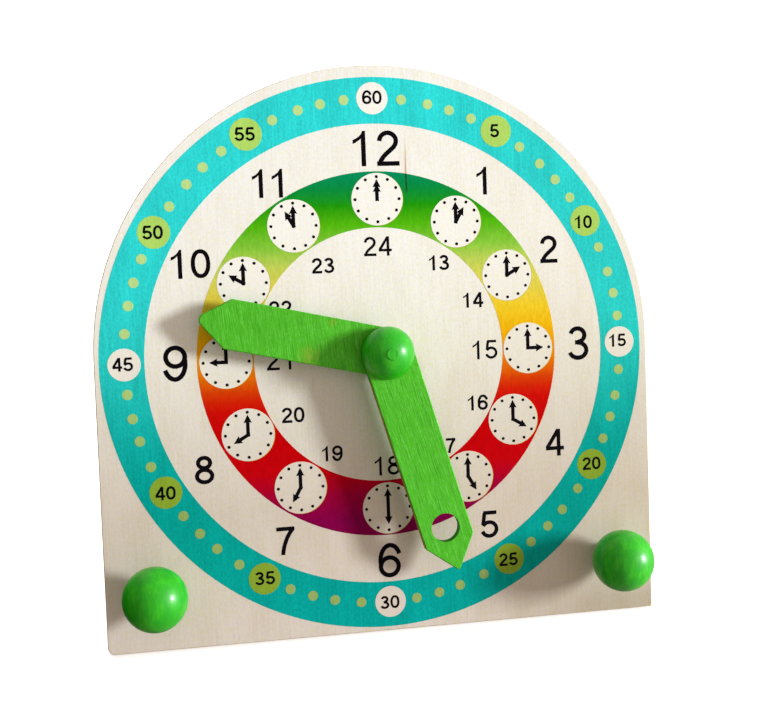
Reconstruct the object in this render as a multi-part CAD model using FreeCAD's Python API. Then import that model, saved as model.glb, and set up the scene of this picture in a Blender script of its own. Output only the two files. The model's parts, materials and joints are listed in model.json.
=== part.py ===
import FreeCAD, Part
import math
import os

# Geared teaching clock: a plywood dial board with two wooden hands on concentric shafts.
# Behind the board a two-stage wooden gear train turns the hour hand once for every
# twelve turns of the minute hand. Two ball-headed pegs pushed through the lower
# corners are the rear legs, and the board leans back on them.
#
# Everything is built in the clock frame: origin at the dial centre on the board's
# front face, X to the right, Y to the rear, Z up along the board, angles clockwise
# from twelve o'clock as the reader sees them. At the end the whole clock is leaned
# back and set down, centred, on the table plane Z = 0.

# Board
BOARD_WIDTH = 223.0
BOARD_HEIGHT = 224.6
BOARD_THICKNESS = 6.0
LEFT_CORNER_RADIUS = 3.0
RIGHT_CORNER_RADIUS = 0.8
BOARD_EDGE_BEVEL = 0.3
DIAL_ABOVE_BOTTOM = 112.1
LEAN_ANGLE = 18.0

# Hands, in order from the board outwards
HAND_THICKNESS = 4.0
HAND_EDGE_BEVEL = 0.35
FLANGE_THICKNESS = 4.0
HOUR_HAND_GAP = 0.4
HAND_WASHER_THICKNESS = 0.7
HAND_GAP = 0.3
HOUR_HAND_WIDTH = 19.4
HOUR_HAND_SHOULDER = 62.3
HOUR_HAND_TIP = 73.3
HOUR_TIP_ROUND = 2.75
MINUTE_HAND_WIDTH = 20.1
MINUTE_HAND_SHOULDER = 78.2
MINUTE_HAND_TIP = 90.1
MINUTE_TIP_ROUND = 1.1
SHOULDER_ROUND = 1.2
FINGER_HOLE_RADIUS = 5.7
FINGER_HOLE_CENTRE = 72.5
SHOWN_HOURS = 9
SHOWN_MINUTES = 27.28
# Play in the wooden gears lets the hour hand hang this far behind, in degrees
HOUR_HAND_LAG = 0.9

# Concentric shafts
MINUTE_SHAFT_RADIUS = 2.5
SLEEVE_RADIUS = 4.5
BUSH_RADIUS = 6.5
FLANGE_RADIUS = 9.0
RUNNING_CLEARANCE = 0.08
KNOB_BASE_RADIUS = 10.4
KNOB_HEIGHT = 8.8
SHAFT_END_PROUD = 0.25
SHAFT_END_CHAMFER = 0.4

# Gear train: minute pinion to idler wheel, idler pinion to hour wheel
GEAR_MODULE = 1.6
PRESSURE_ANGLE = 20.0
FLANK_CUTS = 2
TOOTH_THINNING = 0.12
ADDENDUM = 0.75 * GEAR_MODULE
DEDENDUM = 1.0 * GEAR_MODULE
MINUTE_PINION_TEETH = 15
IDLER_WHEEL_TEETH = 45
IDLER_PINION_TEETH = 12
HOUR_WHEEL_TEETH = 48
WHEEL_THICKNESS = 4.0
PINION_THICKNESS = 5.0
WHEEL_HOLE_COUNT = 6
WHEEL_HOLE_RADIUS = 6.5
WHEEL_HOLE_CIRCLE = 23.5
REAR_WASHER_THICKNESS = 1.1
REAR_WASHER_GAP = 0.1
TRAIN_GAP = 0.8
IDLER_HUB_RADIUS = 6.0
STUD_RADIUS = 3.0
STUD_DEPTH_IN_BOARD = 4.0

# Rear bridge
BRIDGE_WIDTH = 26.0
BRIDGE_THICKNESS = 5.0
BRIDGE_GAP = 0.2
BRIDGE_EDGE_BEVEL = 0.5
BLOCK_HEIGHT = 16.0
BLOCK_CLEARANCE = 3.0
SCREW_SPACING = 14.0
SCREW_SHANK_RADIUS = 1.5
SCREW_HEAD_RADIUS = 3.2
SCREW_HEAD_HEIGHT = 2.2
SCREW_DEPTH_IN_BOARD = 3.6
CAP_RADIUS = 6.0
CAP_THICKNESS = 4.0
CAP_WALL = 1.0
CAP_GAP = 0.2

# Ball-headed leg pegs
PEG_HALF_SPACING = 92.8
PEG_BELOW_DIAL = 87.9
PEG_RADIUS = 4.0
PEG_COLLAR_RADIUS = 5.2
PEG_SPIGOT_RADIUS = 3.0
PEG_SPIGOT_LENGTH = 12.0
PEG_END_CHAMFER = 1.0
BALL_RADIUS = 12.3
BALL_CENTRE_FROM_BOARD = 16.0

# Depths that follow, all measured along +Y from the board's front face
BOARD_BACK = BOARD_THICKNESS
HOUR_HAND_BACK = -(FLANGE_THICKNESS + HOUR_HAND_GAP)
HOUR_HAND_FRONT = HOUR_HAND_BACK - HAND_THICKNESS
HAND_WASHER_FRONT = HOUR_HAND_FRONT - HAND_WASHER_THICKNESS
MINUTE_HAND_BACK = HAND_WASHER_FRONT - HAND_GAP
MINUTE_HAND_FRONT = MINUTE_HAND_BACK - HAND_THICKNESS
SHAFT_FRONT = MINUTE_HAND_FRONT - KNOB_HEIGHT - SHAFT_END_PROUD
HOUR_WHEEL_FRONT = BOARD_BACK + REAR_WASHER_GAP + REAR_WASHER_THICKNESS
HOUR_WHEEL_BACK = HOUR_WHEEL_FRONT + WHEEL_THICKNESS
IDLER_WHEEL_FRONT = HOUR_WHEEL_BACK + TRAIN_GAP
IDLER_WHEEL_BACK = IDLER_WHEEL_FRONT + WHEEL_THICKNESS
MINUTE_PINION_FRONT = HOUR_WHEEL_BACK + 0.5 * TRAIN_GAP
MINUTE_PINION_BACK = MINUTE_PINION_FRONT + PINION_THICKNESS
BRIDGE_FRONT = MINUTE_PINION_BACK + REAR_WASHER_THICKNESS + BRIDGE_GAP
BRIDGE_BACK = BRIDGE_FRONT + BRIDGE_THICKNESS
CAP_FRONT = BRIDGE_BACK + CAP_GAP
CAP_BACK = CAP_FRONT + CAP_THICKNESS

# Sizes and places that follow
BOARD_BOTTOM = -DIAL_ABOVE_BOTTOM
BOARD_TOP = BOARD_HEIGHT - DIAL_ABOVE_BOTTOM
ARCH_RADIUS = BOARD_WIDTH / 2
ARCH_CENTRE = BOARD_TOP - ARCH_RADIUS
MINUTE_ANGLE = 6.0 * SHOWN_MINUTES
HOUR_ANGLE = 30.0 * SHOWN_HOURS + SHOWN_MINUTES / 2 - HOUR_HAND_LAG
GEAR_CENTRE_DISTANCE = GEAR_MODULE * (HOUR_WHEEL_TEETH + IDLER_PINION_TEETH) / 2
IDLER_Z = -GEAR_CENTRE_DISTANCE
HOUR_WHEEL_RADIUS = GEAR_MODULE * HOUR_WHEEL_TEETH / 2 + ADDENDUM
IDLER_WHEEL_RADIUS = GEAR_MODULE * IDLER_WHEEL_TEETH / 2 + ADDENDUM
UPPER_BLOCK_Z = HOUR_WHEEL_RADIUS + BLOCK_CLEARANCE + BLOCK_HEIGHT / 2
LOWER_BLOCK_Z = IDLER_Z - IDLER_WHEEL_RADIUS - BLOCK_CLEARANCE - BLOCK_HEIGHT / 2
SLEEVE_BORE = MINUTE_SHAFT_RADIUS + RUNNING_CLEARANCE
BUSH_BORE = SLEEVE_RADIUS + RUNNING_CLEARANCE
IDLER_BORE = STUD_RADIUS + RUNNING_CLEARANCE
PEG_Z = -PEG_BELOW_DIAL

REARWARD = FreeCAD.Vector(0, 1, 0)


def at(x, depth, z):
    """A point of the clock frame."""
    return FreeCAD.Vector(x, depth, z)


def on_circle(radius, angle, depth, centre_z=0.0):
    """A point at a clock angle, clockwise from twelve, on a circle about (0, centre_z)."""
    turn = math.radians(angle)
    return at(radius * math.sin(turn), depth, centre_z + radius * math.cos(turn))


def rod(radius, front, back, x=0.0, z=0.0):
    """A round bar along Y between two depths."""
    return Part.makeCylinder(radius, back - front, at(x, front, z), REARWARD)


def ring(radius, bore, front, back, x=0.0, z=0.0):
    """A round bar with a through bore."""
    return rod(radius, front, back, x, z).cut(rod(bore, front - 1, back + 1, x, z))


def turned(profile, x=0.0, z=0.0):
    """A solid of revolution about the Y line through (x, z), from (radius, depth) corners."""
    corners = [at(x + radius, depth, z) for radius, depth in profile]
    face = Part.Face(Part.makePolygon(corners + corners[:1]))
    return face.revolve(at(x, 0, z), REARWARD, 360)


def slab(edges, front, back):
    """A flat plate whose outline is a closed run of edges in the plane Y = front."""
    face = Part.Face(Part.Wire(edges))
    return face.extrude(REARWARD * (back - front))


def line(start, end):
    return Part.LineSegment(start, end).toShape()


def arc(start, middle, end):
    return Part.Arc(start, middle, end).toShape()


def edges_along_y(solid, wanted):
    """The straight edges along Y whose (x, z) passes the test."""
    found = []
    for edge in solid.Edges:
        ends = [vertex.Point for vertex in edge.Vertexes]
        if len(ends) == 2 and abs(ends[0].x - ends[1].x) < 1e-6 and abs(ends[0].z - ends[1].z) < 1e-6:
            if wanted(ends[0].x, ends[0].z):
                found.append(edge)
    return found


def ease_edges(solid, bevel, depths):
    """Bevels every edge that lies wholly in one of the given face planes."""
    rims = []
    for edge in solid.Edges:
        box = edge.BoundBox
        if any(abs(box.YMin - depth) < 1e-4 and abs(box.YMax - depth) < 1e-4 for depth in depths):
            rims.append(edge)
    return solid.makeChamfer(bevel, rims)


# ---------------------------------------------------------------- dial board


def board_outline():
    """Round arch above, straight sides and a flat foot with rounded corners below."""
    half = BOARD_WIDTH / 2
    arch_left = at(-half, 0, ARCH_CENTRE)
    arch_right = at(half, 0, ARCH_CENTRE)
    foot_left = at(-half, 0, BOARD_BOTTOM)
    foot_right = at(half, 0, BOARD_BOTTOM)
    return [
        arc(arch_left, at(0, 0, BOARD_TOP), arch_right),
        line(arch_right, foot_right),
        line(foot_right, foot_left),
        line(foot_left, arch_left),
    ]


def screw_places():
    """The (x, z) of the four bridge screws."""
    places = []
    for z in (UPPER_BLOCK_Z, LOWER_BLOCK_Z):
        for x in (-SCREW_SPACING / 2, SCREW_SPACING / 2):
            places.append((x, z))
    return places


def dial_board():
    board = slab(board_outline(), 0, BOARD_BACK)
    for side, radius in ((-1, LEFT_CORNER_RADIUS), (1, RIGHT_CORNER_RADIUS)):
        corner = edges_along_y(board, lambda x, z: x * side > 0 and abs(z - BOARD_BOTTOM) < 1e-6)
        board = board.makeFillet(radius, corner)
    board = ease_edges(board, BOARD_EDGE_BEVEL, (0, BOARD_BACK))
    holes = [rod(BUSH_RADIUS, -1, BOARD_BACK + 1)]
    for x in (-PEG_HALF_SPACING, PEG_HALF_SPACING):
        holes.append(rod(PEG_RADIUS, -1, BOARD_BACK + 1, x, PEG_Z))
    holes.append(rod(STUD_RADIUS, BOARD_BACK - STUD_DEPTH_IN_BOARD, BOARD_BACK + 1, 0, IDLER_Z))
    for x, z in screw_places():
        holes.append(rod(SCREW_SHANK_RADIUS, BOARD_BACK - SCREW_DEPTH_IN_BOARD, BOARD_BACK + 1, x, z))
    return board.cut(holes)


def centre_bush():
    """Flanged bush pressed into the board; its flange holds the hour hand off the dial."""
    front = -FLANGE_THICKNESS
    return turned([
        (BUSH_BORE, front),
        (FLANGE_RADIUS - 0.5, front),
        (FLANGE_RADIUS, front + 0.5),
        (FLANGE_RADIUS, 0),
        (BUSH_RADIUS, 0),
        (BUSH_RADIUS, BOARD_BACK),
        (BUSH_BORE, BOARD_BACK),
    ])


# ---------------------------------------------------------------- hands and shafts


def pointed_hand(width, shoulder, tip, tip_round, front, angle):
    """A flat hand, round at the hub and pointed at the far end, turned to its clock angle."""
    half = width / 2
    back = front + HAND_THICKNESS
    # The point is drawn as a sharp corner, far enough out that rounding brings it back to
    # the wanted reach: reach = point - tip_round * (flank / half - 1), all from the shoulder.
    flatness = tip_round / half
    reach = tip - shoulder - tip_round
    root = math.sqrt((flatness * reach) ** 2 + (1 - flatness ** 2) * tip_round ** 2)
    sharp_tip = shoulder + (reach + root) / (1 - flatness ** 2)
    hand = slab([
        arc(at(-half, front, 0), at(0, front, -half), at(half, front, 0)),
        line(at(half, front, 0), at(half, front, shoulder)),
        line(at(half, front, shoulder), at(0, front, sharp_tip)),
        line(at(0, front, sharp_tip), at(-half, front, shoulder)),
        line(at(-half, front, shoulder), at(-half, front, 0)),
    ], front, back)
    hand = hand.makeFillet(tip_round, edges_along_y(hand, lambda x, z: z > shoulder + 1))
    hand = hand.makeFillet(SHOULDER_ROUND, edges_along_y(hand, lambda x, z: abs(z - shoulder) < 1e-6))
    hand = ease_edges(hand, HAND_EDGE_BEVEL, (front, back))
    return hand.rotate(at(0, 0, 0), REARWARD, angle)


def hour_hand():
    hand = pointed_hand(HOUR_HAND_WIDTH, HOUR_HAND_SHOULDER, HOUR_HAND_TIP, HOUR_TIP_ROUND,
                        HOUR_HAND_FRONT, HOUR_ANGLE)
    return hand.cut(rod(SLEEVE_RADIUS, HOUR_HAND_FRONT - 1, HOUR_HAND_BACK + 1))


def minute_hand():
    hand = pointed_hand(MINUTE_HAND_WIDTH, MINUTE_HAND_SHOULDER, MINUTE_HAND_TIP, MINUTE_TIP_ROUND,
                        MINUTE_HAND_FRONT, MINUTE_ANGLE)
    hole = on_circle(FINGER_HOLE_CENTRE, MINUTE_ANGLE, 0)
    return hand.cut([
        rod(MINUTE_SHAFT_RADIUS, MINUTE_HAND_FRONT - 1, MINUTE_HAND_BACK + 1),
        rod(FINGER_HOLE_RADIUS, MINUTE_HAND_FRONT - 1, MINUTE_HAND_BACK + 1, hole.x, hole.z),
    ])


def hour_sleeve():
    """Tube that joins the hour hand in front to the hour wheel behind the board."""
    return ring(SLEEVE_RADIUS, SLEEVE_BORE, HOUR_HAND_FRONT, HOUR_WHEEL_BACK)


def hand_washer():
    return ring(SLEEVE_RADIUS + 2.5, SLEEVE_BORE, HAND_WASHER_FRONT, HOUR_HAND_FRONT)


def minute_shaft():
    """Dowel through everything, from the knob's crown to the cap behind the bridge."""
    back = CAP_BACK - CAP_WALL
    return turned([
        (0, SHAFT_FRONT),
        (MINUTE_SHAFT_RADIUS - SHAFT_END_CHAMFER, SHAFT_FRONT),
        (MINUTE_SHAFT_RADIUS, SHAFT_FRONT + SHAFT_END_CHAMFER),
        (MINUTE_SHAFT_RADIUS, back),
        (0, back),
    ])


def centre_knob():
    """Ball with its back sliced flat, bored right through for the shaft."""
    base = MINUTE_HAND_FRONT
    radius = (KNOB_BASE_RADIUS ** 2 + KNOB_HEIGHT ** 2) / (2 * KNOB_HEIGHT)
    ball_centre = base - KNOB_HEIGHT + radius
    ball = Part.makeSphere(radius, at(0, ball_centre, 0))
    front_part = rod(radius + 1, ball_centre - radius - 1, base)
    return ball.common(front_part).cut(rod(MINUTE_SHAFT_RADIUS, base - 2 * radius, base + 1))


# ---------------------------------------------------------------- gear train


def involute(angle):
    return math.tan(angle) - angle


def half_tooth(teeth, radius):
    """Half of a tooth's angle, in degrees, at a radius on its involute flank."""
    pitch = GEAR_MODULE * teeth / 2
    base = pitch * math.cos(math.radians(PRESSURE_ANGLE))
    thickness = math.pi * GEAR_MODULE / 2 - TOOTH_THINNING
    at_pitch = thickness / (2 * pitch) + involute(math.radians(PRESSURE_ANGLE))
    return math.degrees(at_pitch - involute(math.acos(base / max(radius, base))))


def gear(teeth, front, back, centre_z, first_tooth):
    """A spur gear blank; each involute flank is a few straight cuts, from its foot to its tip."""
    pitch = GEAR_MODULE * teeth / 2
    tip = pitch + ADDENDUM
    root = pitch - DEDENDUM
    flank_start = max(root, pitch * math.cos(math.radians(PRESSURE_ANGLE)))
    step = 360.0 / teeth

    # Radius and half tooth angle along one flank, outwards
    flank = [(root, half_tooth(teeth, flank_start))] if flank_start > root else []
    for cut in range(FLANK_CUTS + 1):
        radius = flank_start + (tip - flank_start) * cut / FLANK_CUTS
        flank.append((radius, half_tooth(teeth, radius)))

    corners = []
    for tooth in range(teeth):
        middle = first_tooth + tooth * step
        corners += [on_circle(radius, middle - half, front, centre_z) for radius, half in flank]
        corners += [on_circle(radius, middle + half, front, centre_z) for radius, half in reversed(flank)]
    face = Part.Face(Part.makePolygon(corners + corners[:1]))
    return face.extrude(REARWARD * (back - front))


def wheel(teeth, bore, front, back, centre_z, first_tooth):
    """A large gear with a centre bore and a circle of round lightening holes."""
    cuts = [rod(bore, front - 1, back + 1, 0, centre_z)]
    for hole in range(WHEEL_HOLE_COUNT):
        place = on_circle(WHEEL_HOLE_CIRCLE, hole * 360.0 / WHEEL_HOLE_COUNT, 0, centre_z)
        cuts.append(rod(WHEEL_HOLE_RADIUS, front - 1, back + 1, place.x, place.z))
    return gear(teeth, front, back, centre_z, first_tooth).cut(cuts)


def hour_wheel():
    """Below the dial centre a tooth space faces the idler pinion."""
    first_tooth = 180.0 + 180.0 / HOUR_WHEEL_TEETH
    return wheel(HOUR_WHEEL_TEETH, SLEEVE_RADIUS, HOUR_WHEEL_FRONT, HOUR_WHEEL_BACK, 0, first_tooth)


def idler_wheel():
    """Above the idler stud a tooth space faces the minute pinion."""
    first_tooth = 180.0 / IDLER_WHEEL_TEETH
    return wheel(IDLER_WHEEL_TEETH, IDLER_HUB_RADIUS, IDLER_WHEEL_FRONT, IDLER_WHEEL_BACK,
                 IDLER_Z, first_tooth)


def idler_pinion():
    """Pinion with a plain hub on its back, on which the idler wheel is pressed."""
    front = BOARD_BACK + REAR_WASHER_GAP + REAR_WASHER_THICKNESS
    teeth = gear(IDLER_PINION_TEETH, front, IDLER_WHEEL_FRONT, IDLER_Z, 0)
    hub = rod(IDLER_HUB_RADIUS, IDLER_WHEEL_FRONT, IDLER_WHEEL_BACK, 0, IDLER_Z)
    return teeth.fuse(hub).cut(rod(IDLER_BORE, front - 1, IDLER_WHEEL_BACK + 1, 0, IDLER_Z))


def minute_pinion():
    blank = gear(MINUTE_PINION_TEETH, MINUTE_PINION_FRONT, MINUTE_PINION_BACK, 0, 180)
    return blank.cut(rod(MINUTE_SHAFT_RADIUS, MINUTE_PINION_FRONT - 1, MINUTE_PINION_BACK + 1))


def idler_stud():
    """Fixed pin, seated in the board's back and in the bridge."""
    return rod(STUD_RADIUS, BOARD_BACK - STUD_DEPTH_IN_BOARD, BRIDGE_BACK, 0, IDLER_Z)


def hour_wheel_washer():
    return ring(SLEEVE_RADIUS + 3.5, BUSH_BORE, BOARD_BACK + REAR_WASHER_GAP, HOUR_WHEEL_FRONT)


def idler_front_washer():
    return ring(STUD_RADIUS + 3.0, IDLER_BORE, BOARD_BACK + REAR_WASHER_GAP, HOUR_WHEEL_FRONT, 0, IDLER_Z)


def idler_rear_spacer():
    return ring(STUD_RADIUS + 3.0, IDLER_BORE, IDLER_WHEEL_BACK, BRIDGE_FRONT - BRIDGE_GAP, 0, IDLER_Z)


def minute_pinion_washer():
    return ring(MINUTE_SHAFT_RADIUS + 3.0, MINUTE_SHAFT_RADIUS, MINUTE_PINION_BACK,
                BRIDGE_FRONT - BRIDGE_GAP)


def shaft_cap():
    """Turned cap glued on the shaft's rear end to hold it in."""
    shaft_back = CAP_BACK - CAP_WALL
    return turned([
        (MINUTE_SHAFT_RADIUS, CAP_FRONT),
        (CAP_RADIUS, CAP_FRONT),
        (CAP_RADIUS, CAP_BACK - 1.0),
        (CAP_RADIUS - 1.0, CAP_BACK),
        (0, CAP_BACK),
        (0, shaft_back),
        (MINUTE_SHAFT_RADIUS, shaft_back),
    ])


# ---------------------------------------------------------------- rear bridge


def round_ended_bar(low, high, front, back):
    """A bar of the bridge's width with half-round ends, from z = low to z = high."""
    half = BRIDGE_WIDTH / 2
    return slab([
        arc(at(-half, front, high - half), at(0, front, high), at(half, front, high - half)),
        line(at(half, front, high - half), at(half, front, low + half)),
        arc(at(half, front, low + half), at(0, front, low), at(-half, front, low + half)),
        line(at(-half, front, low + half), at(-half, front, high - half)),
    ], front, back)


def rear_bridge():
    """Bar that carries the rear ends of the minute shaft and the idler stud."""
    low = LOWER_BLOCK_Z - BLOCK_HEIGHT / 2
    high = UPPER_BLOCK_Z + BLOCK_HEIGHT / 2
    bar = round_ended_bar(low, high, BRIDGE_FRONT, BRIDGE_BACK)
    bar = ease_edges(bar, BRIDGE_EDGE_BEVEL, (BRIDGE_BACK,))
    cuts = [
        rod(SLEEVE_BORE, BRIDGE_FRONT - 1, BRIDGE_BACK + 1),
        rod(STUD_RADIUS, BRIDGE_FRONT - 1, BRIDGE_BACK + 1, 0, IDLER_Z),
    ]
    for x, z in screw_places():
        cuts.append(rod(SCREW_SHANK_RADIUS, BRIDGE_FRONT - 1, BRIDGE_BACK + 1, x, z))
    return bar.cut(cuts)


def bridge_block(centre_z):
    """Block that holds one end of the bridge off the board, with the end's rounded outline."""
    low = LOWER_BLOCK_Z - BLOCK_HEIGHT / 2
    high = UPPER_BLOCK_Z + BLOCK_HEIGHT / 2
    bar = round_ended_bar(low, high, BOARD_BACK, BRIDGE_FRONT)
    window = Part.makeBox(BRIDGE_WIDTH, BRIDGE_FRONT - BOARD_BACK, BLOCK_HEIGHT,
                          at(-BRIDGE_WIDTH / 2, BOARD_BACK, centre_z - BLOCK_HEIGHT / 2))
    holes = [rod(SCREW_SHANK_RADIUS, BOARD_BACK - 1, BRIDGE_FRONT + 1, x, centre_z)
             for x in (-SCREW_SPACING / 2, SCREW_SPACING / 2)]
    return bar.common(window).cut(holes)


def pan_head_screw(x, z):
    """Plain wood screw, driven in from behind."""
    head = rod(SCREW_HEAD_RADIUS, BRIDGE_BACK, BRIDGE_BACK + SCREW_HEAD_HEIGHT, x, z)
    shank = rod(SCREW_SHANK_RADIUS, BOARD_BACK - SCREW_DEPTH_IN_BOARD, BRIDGE_BACK, x, z)
    return head.fuse(shank)


def bridge_screws():
    return Part.makeCompound([pan_head_screw(x, z) for x, z in screw_places()])


# ---------------------------------------------------------------- leg pegs


def board_lowest():
    """Height of the leaned board's lowest point, behind on its foot where the bevel starts."""
    lean = math.radians(LEAN_ANGLE)
    return BOARD_BOTTOM * math.cos(lean) - (BOARD_BACK - BOARD_EDGE_BEVEL) * math.sin(lean)


def peg_length():
    """Depth of the peg's rear end, so that the peg and the board's foot touch the table."""
    lean = math.radians(LEAN_ANGLE)
    underside = PEG_Z - PEG_RADIUS
    return (underside * math.cos(lean) - board_lowest()) / math.sin(lean) + PEG_END_CHAMFER


def ball_flat_depth():
    """Depth of the flat behind the ball, as wide as the peg's collar."""
    return -BALL_CENTRE_FROM_BOARD + math.sqrt(BALL_RADIUS ** 2 - PEG_COLLAR_RADIUS ** 2)


def foot_ball(x):
    """Ball head with a flat at the back and a blind bore for the peg's spigot."""
    ball = Part.makeSphere(BALL_RADIUS, at(x, -BALL_CENTRE_FROM_BOARD, PEG_Z))
    flat = ball_flat_depth()
    behind = rod(PEG_COLLAR_RADIUS + 1, flat, 0, x, PEG_Z)
    bore = rod(PEG_SPIGOT_RADIUS, flat - PEG_SPIGOT_LENGTH, 0, x, PEG_Z)
    return ball.cut(behind).cut(bore)


def foot_peg(x):
    """Turned leg: spigot in the ball, collar against the board, then the long shank."""
    flat = ball_flat_depth()
    back = peg_length()
    return turned([
        (0, flat - PEG_SPIGOT_LENGTH),
        (PEG_SPIGOT_RADIUS, flat - PEG_SPIGOT_LENGTH),
        (PEG_SPIGOT_RADIUS, flat),
        (PEG_COLLAR_RADIUS, flat),
        (PEG_COLLAR_RADIUS, 0),
        (PEG_RADIUS, 0),
        (PEG_RADIUS, back - PEG_END_CHAMFER),
        (PEG_RADIUS - PEG_END_CHAMFER, back),
        (0, back),
    ], x, PEG_Z)


# ---------------------------------------------------------------- assembly


def pieces():
    """Every piece by its node name, in the clock frame."""
    left, right = -PEG_HALF_SPACING, PEG_HALF_SPACING
    return {
        "dial_board": dial_board(),
        "centre_bush": centre_bush(),
        "foot_ball_left": foot_ball(left),
        "foot_ball_right": foot_ball(right),
        "foot_peg_left": foot_peg(left),
        "foot_peg_right": foot_peg(right),
        "rear_bridge": rear_bridge(),
        "bridge_block_upper": bridge_block(UPPER_BLOCK_Z),
        "bridge_block_lower": bridge_block(LOWER_BLOCK_Z),
        "bridge_screws": bridge_screws(),
        "idler_stud": idler_stud(),
        "minute_shaft": minute_shaft(),
        "minute_hand": minute_hand(),
        "centre_knob": centre_knob(),
        "minute_pinion": minute_pinion(),
        "minute_pinion_washer": minute_pinion_washer(),
        "shaft_cap": shaft_cap(),
        "hour_sleeve": hour_sleeve(),
        "hour_hand": hour_hand(),
        "hand_washer": hand_washer(),
        "hour_wheel": hour_wheel(),
        "hour_wheel_washer": hour_wheel_washer(),
        "idler_wheel": idler_wheel(),
        "idler_pinion": idler_pinion(),
        "idler_front_washer": idler_front_washer(),
        "idler_rear_spacer": idler_rear_spacer(),
    }


def standing_place():
    """Leans the clock back and sets it on Z = 0, centred between its front and rear ends."""
    lean = math.radians(LEAN_ANGLE)
    front = -BALL_CENTRE_FROM_BOARD * math.cos(lean) + PEG_Z * math.sin(lean) - BALL_RADIUS
    peg_top = PEG_Z + PEG_RADIUS - PEG_END_CHAMFER
    rear = peg_length() * math.cos(lean) + peg_top * math.sin(lean)
    turn = FreeCAD.Rotation(FreeCAD.Vector(1, 0, 0), -LEAN_ANGLE)
    return FreeCAD.Placement(FreeCAD.Vector(0, -(front + rear) / 2, -board_lowest()), turn)


def main():
    os.makedirs("parts", exist_ok=True)
    place = standing_place()
    for name, shape in pieces().items():
        shape = shape.copy()
        shape.Placement = place.multiply(shape.Placement)
        shape.exportStep("parts/" + name + ".step")
        print(name, round(shape.Volume, 1), shape.isValid(), len(shape.Solids))
    print("shift", [round(value, 4) for value in place.Base], "peg length", round(peg_length(), 3))


main()
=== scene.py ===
import json
import math

import bmesh
import bpy
from bpy.props import FloatProperty, FloatVectorProperty, IntProperty, PointerProperty
from mathutils import Matrix, Vector


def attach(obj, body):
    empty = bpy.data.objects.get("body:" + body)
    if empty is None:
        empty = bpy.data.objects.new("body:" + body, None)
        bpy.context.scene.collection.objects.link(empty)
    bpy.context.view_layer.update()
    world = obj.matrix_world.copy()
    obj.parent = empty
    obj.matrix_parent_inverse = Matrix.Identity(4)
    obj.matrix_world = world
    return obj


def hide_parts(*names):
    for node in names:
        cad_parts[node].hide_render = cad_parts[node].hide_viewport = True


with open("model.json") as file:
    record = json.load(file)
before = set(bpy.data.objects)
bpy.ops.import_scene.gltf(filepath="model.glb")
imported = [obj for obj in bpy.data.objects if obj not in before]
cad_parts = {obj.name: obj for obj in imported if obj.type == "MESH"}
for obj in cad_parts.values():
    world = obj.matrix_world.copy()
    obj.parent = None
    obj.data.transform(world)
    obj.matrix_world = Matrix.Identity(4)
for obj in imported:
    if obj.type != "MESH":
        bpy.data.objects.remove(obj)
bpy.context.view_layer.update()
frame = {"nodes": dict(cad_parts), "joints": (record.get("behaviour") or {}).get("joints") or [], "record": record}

bl_info = {
    "name": "Geared teaching clock",
    "version": (1, 0, 0),
    "blender": (4, 5, 0),
    "location": "3D View > Sidebar > Clock",
    "description": "Dresses the packed clock: printed dial, stained hands, knobs, gear train and stage",
    "category": "Object",
}

# ------------------------------------------------------------------ places read from the frame

MM = 0.001
NODES = frame["nodes"]


def named(items, name):
    return next(item for item in items if item["name"] == name)


def dial_axes():
    """The dial's own axes in the row frame: X to the right, Y up the board, Z out to the reader."""
    joint = named(frame["joints"], "minute_turn")
    right = Vector((1, 0, 0))
    rearward = Vector(joint["axis"])
    up = right.cross(rearward)
    turn = Matrix((right, up, -rearward)).transposed()
    return Matrix.Translation(joint["pos_m"]) @ turn.to_4x4()


DIAL = dial_axes()
TO_DIAL = DIAL.inverted()


def extent(node):
    """Lowest and highest corner of a CAD node, in metres on the dial's axes."""
    corners = [TO_DIAL @ vertex.co for vertex in NODES[node].data.vertices]
    low = Vector([min(corner[axis] for corner in corners) for axis in range(3)])
    high = Vector([max(corner[axis] for corner in corners) for axis in range(3)])
    return low, high


OUTWARD = DIAL.to_3x3() @ Vector((0, 0, 1))
FINGER_HOLE = TO_DIAL @ Vector(named(frame["record"]["mounts"], "finger_hole_bore")["pos_m"])
MINUTE_ANGLE = math.atan2(FINGER_HOLE.x, FINGER_HOLE.y)
FULL_TURN = 2 * math.pi
HOUR_STEP = FULL_TURN / 12
MINUTE_STEP = FULL_TURN / 60

# Layers of print, out from the board's face
INK_BASE = -0.02 * MM
RING_TOP = 0.05 * MM
RIM_TOP = 0.08 * MM
DISC_TOP = 0.10 * MM
HOUR_ARROW_TOP = 0.14 * MM
MARK_TOP = 0.15 * MM


# ------------------------------------------------------------------ settings


def length(name, description, default_mm):
    return FloatProperty(name=name, description=description, default=default_mm * MM,
                         min=0.0, unit="LENGTH", subtype="DISTANCE")


def colour(name, description, default):
    return FloatVectorProperty(name=name, description=description, default=default,
                               size=3, min=0.0, max=1.0, subtype="COLOR")


def share(name, description, default):
    return FloatProperty(name=name, description=description, default=default,
                         min=0.0, max=1.0, subtype="FACTOR")


def pen_share(numerals, default):
    return share(numerals + ", pen", "Width of their strokes as a share of their height", default)


def light_power(name, description, default):
    return FloatProperty(name=name, description=description, default=default, min=0.0, unit="POWER")


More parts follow.
